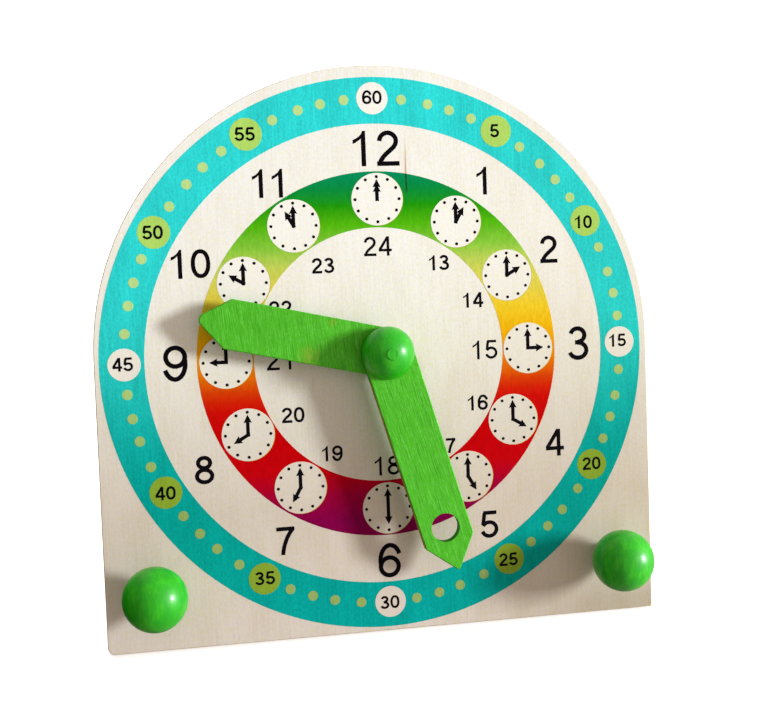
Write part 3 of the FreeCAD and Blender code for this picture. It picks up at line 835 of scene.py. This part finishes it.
def digit_strokes(pen):
    """Centrelines of the ten digits, one unit high; only a full oval is closed."""
    low = pen / 2
    high = 1 - low
    six_bowl = oval((0.33, 0.325), (0.2635, 0.325 - low))
    six_back = oval((0.355, 0.50), (0.2935, 0.4475), 24, 200)
    return {
        "0": [oval(DIGIT_MIDDLE, (0.2635, high - 0.5), squareness=2.2)],
        "1": [[(ONE_STEM, 0.0), (ONE_STEM, 0.9)]],
        "2": [oval((0.325, 0.705), (0.240, high - 0.705), 180, -30)[:-1]
              + bend((0.533, 0.590), (0.46, 0.45), (0.15, 0.32), (0.085, 0.075)),
              [(0.0, low), (0.65, low)]],
        "3": [oval((0.31, 0.735), (0.215, high - 0.735), 165, -90),
              oval((0.315, 0.29), (0.26, 0.29 - low), 92, -165),
              [(0.23, 0.525), (0.33, 0.525)]],
        "4": [[(0.49, 0.0), (0.49, 1.0)], [(0.0, 0.29), (0.69, 0.29)], [(0.05, 0.314), (0.481, 0.969)]],
        "5": [[(0.115, high), (0.61, high)], [(0.160, high), (0.092, 0.475)],
              oval((0.325, 0.325), (0.272, 0.325 - low), 150, -163)],
        "6": [six_bowl, six_back],
        "7": [[(0.0, high), (0.645, high)],
              bend((0.592, high - 0.01), (0.40, 0.73), (0.24, 0.36), (0.205, 0.0))],
        "8": [oval((0.325, 0.75), (0.2085, high - 0.75)), oval((0.325, 0.2875), (0.2635, 0.2875 - low))],
        "9": [turned_about(six_bowl, DIGIT_MIDDLE), turned_about(six_back, DIGIT_MIDDLE)],
    }


def flag_outline(pen):
    """The head of a one: a flag that narrows from the stem to an upright cut."""
    right = ONE_STEM + pen / 2
    left = ONE_STEM - pen / 2
    top = bend((right - 0.08, 1.0), (0.34, 0.87), (0.23, 0.79), (FLAG_END, 0.745))
    foot = bend((FLAG_END, 0.63), (0.18, 0.665), (0.27, 0.72), (left, 0.785))
    return [(right, 0.85), (right, 1.0)] + top + foot + [(left, 0.7)]


def slab_object(name, outline, bottom=0.0, top=1.0):
    """A flat outline made solid between two heights."""
    bm = bmesh.new()
    add_slab(bm, [(x, y, bottom) for x, y in reversed(outline)], top - bottom)
    bmesh.ops.recalc_face_normals(bm, faces=bm.faces)
    return mesh_object(name, bm)


def stroke_object(name, points, closed, pen):
    """A flat pen stroke, one unit deep: a wall along the points, thickened to the pen's width."""
    bm = bmesh.new()
    corners = [bm.verts.new((x, y, 0)) for x, y in points]
    runs = zip(corners, corners[1:] + corners[:1] if closed else corners[1:])
    edges = [bm.edges.new(pair) for pair in runs]
    lift(bm, bmesh.ops.extrude_edge_only(bm, edges=edges), 1)
    made = mesh_object(name, bm)
    thick = made.modifiers.new("Pen", "SOLIDIFY")
    thick.thickness = pen
    thick.offset = 0
    thick.use_even_offset = True
    return made


def combined(parts, operation="UNION"):
    """One closed mesh from a solid and others joined to it or cut from it; the parts are used up."""
    for other in parts[1:]:
        step = parts[0].modifiers.new("Combine", "BOOLEAN")
        step.operation = operation
        step.solver = "EXACT"
        step.object = other
    bpy.context.view_layer.update()
    finished = parts[0].evaluated_get(bpy.context.evaluated_depsgraph_get())
    solid = bpy.data.meshes.new_from_object(finished)
    for part in parts:
        bpy.data.objects.remove(part)
    return solid


def digit_meshes(pen):
    digits = {}
    for digit, strokes in digit_strokes(pen).items():
        parts = []
        for number, points in enumerate(strokes):
            closed = len(points) == ROUND_STEPS
            parts.append(stroke_object(f"stroke_{digit}_{number}", points, closed, pen))
        if digit == "1":
            parts.append(slab_object("flag", flag_outline(pen)))
        digits[digit] = combined(parts)
    return digits


def write_number(bm, digits, number, centre, height, top):
    """Adds a number to a mesh, with its ink centred on a point of the dial."""
    text = str(number)
    first = len(bm.verts)
    pen_x = 0.0
    for before, digit in zip(" " + text, text):
        if before == digit == "1":
            pen_x -= ONES_KERN
        start = len(bm.verts)
        bm.from_mesh(digits[digit])
        moved(bm, start, Matrix.Translation((pen_x, 0, 0)))
        pen_x += DIGIT_PITCH
    bm.verts.ensure_lookup_table()
    reach = [vertex.co.x for vertex in bm.verts[first:]]
    middle = (min(reach) + max(reach)) / 2
    size = Matrix.Diagonal((height, height, top - INK_BASE, 1))
    centred = Matrix.Translation((-middle, -DIGIT_MIDDLE[1], 0))
    moved(bm, first, Matrix.Translation((*centre, INK_BASE)) @ size @ centred)


# Where each numeral's ink is centred, in millimetres on the dial
HOUR_PLACES = {
    12: (0.95, 80.5), 1: (43.5, 67.05), 2: (70.75, 38.85), 3: (82.2, 0.15),
    4: (70.95, -40.1), 5: (42.15, -71.85), 6: (0.4, -83.35), 7: (-41.05, -72.3),
    8: (-71.5, -42.2), 9: (-80.8, -0.35), 10: (-73.15, 37.55), 11: (-42.4, 67.65),
}
AFTERNOON_PLACES = {
    24: (0.2, 42.15), 13: (24.85, 34.9), 14: (38.4, 19.5), 15: (42.65, -0.7),
    16: (39.05, -22.0), 17: (25.05, -38.7), 18: (0.75, -45.15), 19: (-21.15, -38.85),
    20: (-36.05, -22.75), 21: (-40.8, -1.05), 22: (-39.35, 19.1), 23: (-21.9, 35.25),
}

# How far each minute numeral is printed off the middle of its disc, in millimetres
MINUTE_SHIFTS = {
    5: (-0.5, 0.2), 10: (-0.65, -0.5), 15: (-0.65, 0.6), 20: (0.0, 0.3),
    25: (-0.3, -0.2), 30: (-0.25, -0.2), 35: (0.15, 0.2), 40: (-0.15, -0.2),
    45: (-0.55, 0.2), 50: (-0.35, 0.0), 55: (-0.35, 0.1), 60: (0.0, 0.35),
}


class CLOCK_OT_numerals(bpy.types.Operator):
    """Print the hour, afternoon and minute numerals"""

    bl_idname = "clock.numerals"
    bl_label = "Numerals"

    def execute(self, context):
        sizes = settings().numerals
        self.print_run("hour_numerals", HOUR_PLACES, (sizes.quarter_height, sizes.quarter_pen),
                       (sizes.hour_height, sizes.hour_pen))
        self.print_run("afternoon_numerals", AFTERNOON_PLACES,
                       (sizes.afternoon_quarter_height, sizes.afternoon_quarter_pen),
                       (sizes.afternoon_height, sizes.afternoon_pen))
        digits = digit_meshes(sizes.minute_pen)
        bm = bmesh.new()
        for minute, (across, up) in MINUTE_SHIFTS.items():
            x, y = on_circle(settings().dial.minute_circle, MINUTE_STEP * minute)
            centre = (x + across * MM, y + up * MM)
            write_number(bm, digits, minute, centre, sizes.minute_height, MARK_TOP)
        printed("minute_numerals", bm, black_ink())
        return {"FINISHED"}

    @staticmethod
    def print_run(name, places, quarters, others):
        """Prints twelve numerals; each third one has its own height and pen."""
        styles = {True: quarters, False: others}
        digits = {is_quarter: digit_meshes(pen) for is_quarter, (_, pen) in styles.items()}
        bm = bmesh.new()
        for number, (x, y) in places.items():
            is_quarter = number % 3 == 0
            height = styles[is_quarter][0]
            write_number(bm, digits[is_quarter], number, (x * MM, y * MM), height, RING_TOP)
        printed(name, bm, black_ink())


# ------------------------------------------------------------------ printed dial


class CLOCK_OT_dial_rings(bpy.types.Operator):
    """Print the turquoise minute ring and the rainbow hour band"""

    bl_idname = "clock.dial_rings"
    bl_label = "Rings"

    def execute(self, context):
        dial = settings().dial
        ring = flat_ring(dial.ring_outer, dial.ring_inner, dial.ring_inner_wide,
                         (-dial.ring_left, -dial.ring_drop))
        printed("minute_ring", ring, turquoise_ink())
        band = flat_ring(dial.band_outer, dial.band_inner, dial.band_inner,
                         (-dial.ring_left, -dial.hour_drop))
        printed("hour_band", band, rainbow_ink())
        return {"FINISHED"}


# Segments round the printed discs and dots
MINUTE_DISC_STEPS = 64
DOT_STEPS = 32
FACE_STEPS = 72
SMALL_DOT_STEPS = 16

# The four dots between two minute discs, in degrees after the first disc
DOT_ANGLES = (6.7, 12.87, 18.06, 23.5)

# How far each group of four is printed past that, in degrees, from the twelve on
DOT_SHIFTS = (0, -0.05, 0.3, -0.15, -0.05, 0.27, 0.1, -0.05, -0.1, 0.05, -0.1, 0)


class CLOCK_OT_minute_marks(bpy.types.Operator):
    """Print the twelve minute discs and the dots between them"""

    bl_idname = "clock.minute_marks"
    bl_label = "Minute discs and dots"

    def execute(self, context):
        dial = settings().dial
        pale = bmesh.new()
        lime = bmesh.new()
        dots = bmesh.new()
        for mark in range(12):
            angle = HOUR_STEP * mark
            target = pale if mark % 3 == 0 else lime
            centre = on_circle(dial.minute_circle, angle)
            add_disc(target, centre, dial.minute_disc, DISC_TOP, MINUTE_DISC_STEPS)
            for step in DOT_ANGLES:
                centre = on_circle(dial.minute_circle, angle + math.radians(step + DOT_SHIFTS[mark]))
                add_disc(dots, centre, dial.minute_dot, DISC_TOP, DOT_STEPS)
        printed("quarter_minute_discs", pale, cream_ink())
        printed("minute_discs", lime, lime_ink())
        printed("minute_dots", dots, dot_ink())
        return {"FINISHED"}


# How far an arrow head's corners reach back, as a share of its length
BARB = 0.08


def add_arrow(bm, centre, angle, reach, top, dial):
    """An arrow from a small face's centre, with a square foot and a slightly barbed head."""
    shaft = dial.arrow_width / 2
    head = dial.arrow_head_width / 2
    neck = reach - dial.arrow_head
    barb = neck - BARB * dial.arrow_head
    half = [(shaft, -shaft), (shaft, neck), (head, barb)]
    outline = half + [(0, reach)] + [(-x, y) for x, y in reversed(half)]
    turn = Matrix.Translation((*centre, INK_BASE)) @ Matrix.Rotation(-angle, 4, "Z")
    add_slab(bm, [turn @ Vector((x, y, 0)) for x, y in outline], top - INK_BASE)


# Where each small clock face is centred, in millimetres on the print
FACE_PLACES = {
    12: (0.6, 60.6), 1: (32.3, 51.0), 2: (52.8, 29.0), 3: (60.7, -0.8),
    4: (53.5, -29.5), 5: (33.9, -51.6), 6: (0.5, -62.1), 7: (-34.3, -51.6),
    8: (-54.0, -29.5), 9: (-61.3, -0.8), 10: (-53.3, 29.4), 11: (-32.9, 51.0),
}

# The gold under each small face shows as a thin rim, mostly on its lower right
RIM_SHIFT = (0.16 * MM, -0.08 * MM)
RIM_WIDTH = 0.04 * MM


class CLOCK_OT_hour_clocks(bpy.types.Operator):
    """Print the twelve small clock faces, each showing its own hour"""

    bl_idname = "clock.hour_clocks"
    bl_label = "Small clock faces"

    def execute(self, context):
        dial = settings().dial
        discs = bmesh.new()
        rims = bmesh.new()
        marks = bmesh.new()
        for hour, (x, y) in FACE_PLACES.items():
            centre = (x * MM, y * MM)
            add_disc(discs, centre, dial.hour_disc, DISC_TOP, FACE_STEPS)
            shifted = (centre[0] + RIM_SHIFT[0], centre[1] + RIM_SHIFT[1])
            add_disc(rims, shifted, dial.hour_disc + RIM_WIDTH, RIM_TOP, FACE_STEPS)
            for mark in range(12):
                place = on_circle(dial.small_circle, HOUR_STEP * mark, centre)
                add_disc(marks, place, dial.small_dot, MARK_TOP, SMALL_DOT_STEPS)
            add_arrow(marks, centre, 0, dial.small_minute, MARK_TOP, dial)
            reach = dial.small_twelve if hour == 12 else dial.small_hour
            add_arrow(marks, centre, HOUR_STEP * hour, reach, HOUR_ARROW_TOP, dial)
        printed("small_clock_rims", rims, gold_ink())
        printed("small_clock_faces", discs, cream_ink())
        printed("small_clock_marks", marks, black_ink())
        return {"FINISHED"}


# ------------------------------------------------------------------ board, hands and turned pieces


# The hour hand's grain runs nearly up the board, in radians from twelve
HOUR_HAND_GRAIN = -0.1


def dress(material, *nodes):
    """Gives CAD nodes a finish."""
    for node in nodes:
        slots = NODES[node].data.materials
        slots.clear()
        slots.append(material)


class CLOCK_OT_board(bpy.types.Operator):
    """Finish the plywood dial board, its bush, the bridge with its blocks and the idler's pin"""

    bl_idname = "clock.board"
    bl_label = "Board and bridge"

    def execute(self, context):
        dress(dial_plywood(), "dial_board")
        dress(gear_plywood(), "rear_bridge")
        dress(beech(), "centre_bush", "bridge_block_upper", "bridge_block_lower", "idler_stud")
        return {"FINISHED"}


class CLOCK_OT_hands(bpy.types.Operator):
    """Stain the two hands along their grain and finish the washer between them"""

    bl_idname = "clock.hands"
    bl_label = "Hands"

    def execute(self, context):
        dress(green_stain(HOUR_HAND_GRAIN), "hour_hand")
        dress(fibre(), "hand_washer")
        dress(green_stain(MINUTE_ANGLE), "minute_hand")
        return {"FINISHED"}


# How the knob's foot is eased off, as an angle of its ball and across its foot
KNOB_EASING_ANGLE = 0.03
KNOB_EASING = 0.25 * MM

# Segments along the profiles
KNOB_STEPS = 40
BALL_STEPS = 56


class CLOCK_OT_turned_parts(bpy.types.Operator):
    """Turn and lacquer the knob and the ball heads, stain the pegs and lacquer the shaft"""

    bl_idname = "clock.turned_parts"
    bl_label = "Knob, ball heads and pegs"

    def execute(self, context):
        turned = settings().turned
        self.knob(turned)
        for side in ("left", "right"):
            self.ball(turned, side)
            dress(peg_stain(), "foot_peg_" + side)
        dress(green_lacquer(), "minute_shaft")
        return {"FINISHED"}

    @staticmethod
    def round_profile(centre, radius, start, end, steps):
        """(radius, height) corners along a circle whose centre is on the turning axis."""
        angles = [start + (end - start) * step / steps for step in range(steps + 1)]
        return [(radius * math.sin(angle), centre + radius * math.cos(angle)) for angle in angles]

    def knob(self, turned):
        """A half-ball round the shaft, with its foot's edge eased."""
        low, high = extent("centre_knob")
        base = low.z
        reach = (high.x - low.x) / 2
        bore = turned.knob_bore
        radius = (reach ** 2 + turned.knob_height ** 2) / (2 * turned.knob_height)
        centre = base + turned.knob_height - radius
        start = math.asin(bore / radius)
        end = math.asin(reach / radius)
        if centre > base:
            end = math.pi - end
        crown = self.round_profile(centre, radius, start, end - KNOB_EASING_ANGLE, KNOB_STEPS)
        bm = bmesh.new()
        turn_profile(bm, [(bore, base), *crown, (reach - KNOB_EASING, base), (bore, base)], turned.steps)
        made = piece("turned_knob", bm, green_lacquer(), "minute_arbor", smooth=True)
        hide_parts("centre_knob")

    def ball(self, turned, side):
        """A ball head, flat behind, with the end of its peg inside it."""
        low, high = extent("foot_ball_" + side)
        radius = (high.x - low.x) / 2
        middle = ((high.x + low.x) / 2, (high.y + low.y) / 2)
        centre = high.z - radius
        end = math.pi - math.asin(turned.ball_flat / radius)
        flat = centre + radius * math.cos(end)
        tip = flat + turned.spigot_length
        corners = self.round_profile(centre, radius, 0, end, BALL_STEPS)
        corners += [(turned.spigot, flat), (turned.spigot, tip), (0, tip)]
        bm = bmesh.new()
        turn_profile(bm, corners, turned.steps, middle)
        made = piece("turned_ball_" + side, bm, green_lacquer(), "stand", smooth=True)
        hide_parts("foot_ball_" + side)


class CLOCK_OT_gear_train(bpy.types.Operator):
    """Finish the wheels, pinions and washers behind the board"""

    bl_idname = "clock.gear_train"
    bl_label = "Gear train"

    def execute(self, context):
        dress(gear_plywood(), "hour_wheel", "idler_wheel")
        dress(beech(), "minute_pinion", "idler_pinion", "shaft_cap", "hour_sleeve", "idler_rear_spacer")
        dress(fibre(), "minute_pinion_washer", "hour_wheel_washer", "idler_front_washer")
        return {"FINISHED"}


# A screw's segments, the length of its point and how square its head's profile is, 2 being round
SCREW_STEPS = 48
SCREW_POINT = 2 * MM
SCREW_DOME_SQUARENESS = 3.0

# How far each screw was driven round, in radians
FIRST_SCREW_TURN = 0.4
NEXT_SCREW_TURN = 0.5


class CLOCK_OT_screws(bpy.types.Operator):
    """Make the four cross-recessed wood screws that hold the bridge"""

    bl_idname = "clock.screws"
    bl_label = "Screws"

    def execute(self, context):
        turned = settings().turned
        low, high = extent("bridge_screws")
        solid = self.screw(turned, low.z, high.z)
        across = high.x - turned.screw_head
        heights = (low.y + turned.screw_head, high.y - turned.screw_head)
        bm = bmesh.new()
        for number, (x, y) in enumerate((x, y) for x in (-across, across) for y in heights):
            first = len(bm.verts)
            bm.from_mesh(solid)
            driven = Matrix.Rotation(FIRST_SCREW_TURN + NEXT_SCREW_TURN * number, 4, "Z")
            moved(bm, first, Matrix.Translation((x, y, 0)) @ driven)
        made = piece("cross_recessed_screws", bm, zinc_steel(), "stand", smooth=True)
        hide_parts("bridge_screws")
        return {"FINISHED"}

    @staticmethod
    def screw(turned, crown, point):
        """One screw on the dial's axis, from the crown of its head to its point."""
        seat = crown + turned.screw_head_height
        reach = (turned.screw_head, -turned.screw_head_height)
        dome = oval((0, seat), reach, 90, 0, SCREW_DOME_SQUARENESS)
        shank = [(turned.screw_shank, seat), (turned.screw_shank, point - SCREW_POINT), (0, point)]
        bm = bmesh.new()
        turn_profile(bm, dome + shank, SCREW_STEPS)
        bmesh.ops.recalc_face_normals(bm, faces=bm.faces)
        near, far = turned.screw_slot / 2, turned.screw_cross / 2
        arm = [Vector(corner) for corner in ((near, near), (near, far), (-near, far))]
        turns = [Matrix.Rotation(math.radians(angle), 2) for angle in (0, 90, 180, 270)]
        cross = [turn @ corner for turn in turns for corner in arm]
        recess = slab_object("recess", cross, crown - MM, crown + turned.screw_head_height / 2)
        return combined([mesh_object("screw", bm), recess], "DIFFERENCE")


# ------------------------------------------------------------------ stage

# Camera on the dial's axes: places in millimetres, roll in degrees, lens and sensor in millimetres
CAMERA_PLACE = (-93.39, 25.32, 478.37)
CAMERA_AIM = (0.45, -2.75, 0.0)
CAMERA_ROLL = 2.13
CAMERA_LENS = 57.81
SENSOR_WIDTH = 36.0
NEAREST_SEEN = 10 * MM

# The surround: the colour of its light and the way to its strongest side, on the dial's axes
SURROUND_TONE = (1.0, 0.87, 0.78, 1.0)
SURROUND_BRIGHT_SIDE = (0.85, 0.25, 0.46)

# Wide light over the floor behind the clock, in metres on the row frame
REAR_LIGHT_SIZE = (6.0, 4.6)
REAR_LIGHT_PLACE = (0.0, 3.5, 3.0)

# Segments round the floor, and the radius, in metres, of its sweep into the wall
FLOOR_STEPS = 96
FLOOR_SWEEP = 1.0


def looking(place, aim, roll=0.0):
    """A matrix that looks from a place to an aim, upright on the dial and then rolled clockwise."""
    ahead = (aim - place).normalized()
    right = ahead.cross(DIAL.to_3x3() @ Vector((0, 1, 0))).normalized()
    right = Matrix.Rotation(roll, 3, ahead) @ right
    up = right.cross(ahead)
    return Matrix.Translation(place) @ Matrix((right, up, -ahead)).transposed().to_4x4()


def area_light(name, size, power, tone=(1.0, 1.0, 1.0)):
    """A rectangular light at the origin that shines down; size is (width, height)."""
    lamp = bpy.data.lights.new(name, "AREA")
    lamp.shape = "RECTANGLE"
    lamp.size, lamp.size_y = size
    lamp.energy = power
    lamp.color = tone
    return linked(name, lamp)


def soft_light(name, azimuth, elevation, distance, size, power, tone):
    """A light aimed at the hands, placed in degrees to the right of and above the dial's axis."""
    across = math.radians(azimuth)
    above = math.radians(elevation)
    level = math.cos(above)
    way = Vector((math.sin(across) * level, math.sin(above), math.cos(across) * level))
    made = area_light(name, size, power, tone)
    made.matrix_world = looking(DIAL @ (way * distance), DIAL.translation)


class CLOCK_OT_stage(bpy.types.Operator):
    """Lay the pale floor, set the soft lights and place the camera"""

    bl_idname = "clock.stage"
    bl_label = "Stage"

    def execute(self, context):
        stage = settings().stage
        self.floor(stage)
        soft_light("key_light", azimuth=62.2, elevation=5.5, distance=3.0, size=(0.42, 0.7),
                   power=stage.key_power, tone=(0.91, 0.97, 1.0))
        soft_light("back_light", azimuth=160, elevation=35, distance=2.4, size=(1.6, 1.2),
                   power=stage.back_power, tone=(1.0, 0.97, 0.93))
        self.rear_light(stage)
        self.surround(stage)
        self.camera()
        context.scene.view_settings.view_transform = "Standard"
        return {"FINISHED"}

    @staticmethod
    def floor(stage):
        """A round floor that sweeps up into a wall; only the camera sees it."""
        radius = stage.floor_radius
        sweep = oval((radius - FLOOR_SWEEP, FLOOR_SWEEP), (FLOOR_SWEEP, FLOOR_SWEEP), -90, 0)
        bm = bmesh.new()
        turn_profile(bm, [(0.0, 0.0), *sweep, (radius, stage.wall_height)], FLOOR_STEPS)
        bmesh.ops.recalc_face_normals(bm, faces=bm.faces)
        bm.faces.ensure_lookup_table()
        if bm.faces[0].normal.z < 0:
            bmesh.ops.reverse_faces(bm, faces=bm.faces)
        made = mesh_object("floor", bm)
        made.data.shade_smooth()
        made.data.materials.append(pale_floor())
        made.visible_diffuse = False
        made.visible_glossy = False
        made.visible_shadow = False

    @staticmethod
    def rear_light(stage):
        """A wide light over the floor behind the clock, so that the floor stays pale far away."""
        made = area_light("rear_light", REAR_LIGHT_SIZE, stage.rear_power)
        made.location = REAR_LIGHT_PLACE
        made.visible_glossy = False

    @staticmethod
    def surround(stage):
        """Warm light from all round, strongest from the right, in front of the dial."""
        world = bpy.data.worlds.new("surround")
        bpy.context.scene.world = world
        finish = Finish(world)
        way = finish.node("ShaderNodeTexCoord", output="Generated")
        bright_side = DIAL.to_3x3() @ Vector(SURROUND_BRIGHT_SIDE)
        lean = finish.vector_math("DOT_PRODUCT", way, bright_side, "Value")
        strength = stage.surround * (1.0 + stage.lean * lean)
        glow = finish.node("ShaderNodeBackground", inputs={"Color": SURROUND_TONE, "Strength": strength})
        finish.node("ShaderNodeOutputWorld", inputs={"Surface": glow}, output=None)

    @staticmethod
    def camera():
        lens = bpy.data.cameras.new("camera")
        lens.lens = CAMERA_LENS
        lens.sensor_fit = "HORIZONTAL"
        lens.sensor_width = SENSOR_WIDTH
        lens.clip_start = NEAREST_SEEN
        made = linked("camera", lens)
        place = DIAL @ (Vector(CAMERA_PLACE) * MM)
        aim = DIAL @ (Vector(CAMERA_AIM) * MM)
        made.matrix_world = looking(place, aim, math.radians(CAMERA_ROLL))
        bpy.context.scene.camera = made


# ------------------------------------------------------------------ add-on

OPERATORS = (
    CLOCK_OT_board,
    CLOCK_OT_dial_rings,
    CLOCK_OT_minute_marks,
    CLOCK_OT_hour_clocks,
    CLOCK_OT_numerals,
    CLOCK_OT_hands,
    CLOCK_OT_turned_parts,
    CLOCK_OT_gear_train,
    CLOCK_OT_screws,
    CLOCK_OT_stage,
)


class CLOCK_PT_panel(bpy.types.Panel):
    """Settings and steps of the teaching clock"""

    bl_idname = "CLOCK_PT_panel"
    bl_label = "Teaching clock"
    bl_space_type = "VIEW_3D"
    bl_region_type = "UI"
    bl_category = "Clock"

    def draw(self, context):
        for group in ("dial", "numerals", "colours", "turned", "stage"):
            box = self.layout.box()
            values = getattr(settings(), group)
            box.label(text=group.capitalize())
            for name in values.__annotations__:
                box.prop(values, name)
        for operator in OPERATORS:
            self.layout.operator(operator.bl_idname)


CLASSES = (
    DialPrintSettings,
    NumeralSettings,
    ColourSettings,
    TurnedSettings,
    StageSettings,
    ClockSettings,
    *OPERATORS,
    CLOCK_PT_panel,
)


def register():
    for each in CLASSES:
        bpy.utils.register_class(each)
    bpy.types.Scene.teaching_clock = PointerProperty(type=ClockSettings)


def unregister():
    del bpy.types.Scene.teaching_clock
    for each in reversed(CLASSES):
        bpy.utils.unregister_class(each)


def main():
    register()
    bpy.ops.clock.board()
    bpy.ops.clock.dial_rings()
    bpy.ops.clock.minute_marks()
    bpy.ops.clock.hour_clocks()
    bpy.ops.clock.numerals()
    bpy.ops.clock.hands()
    bpy.ops.clock.turned_parts()
    bpy.ops.clock.gear_train()
    bpy.ops.clock.screws()
    bpy.ops.clock.stage()


if __name__ == "__main__":
    main()
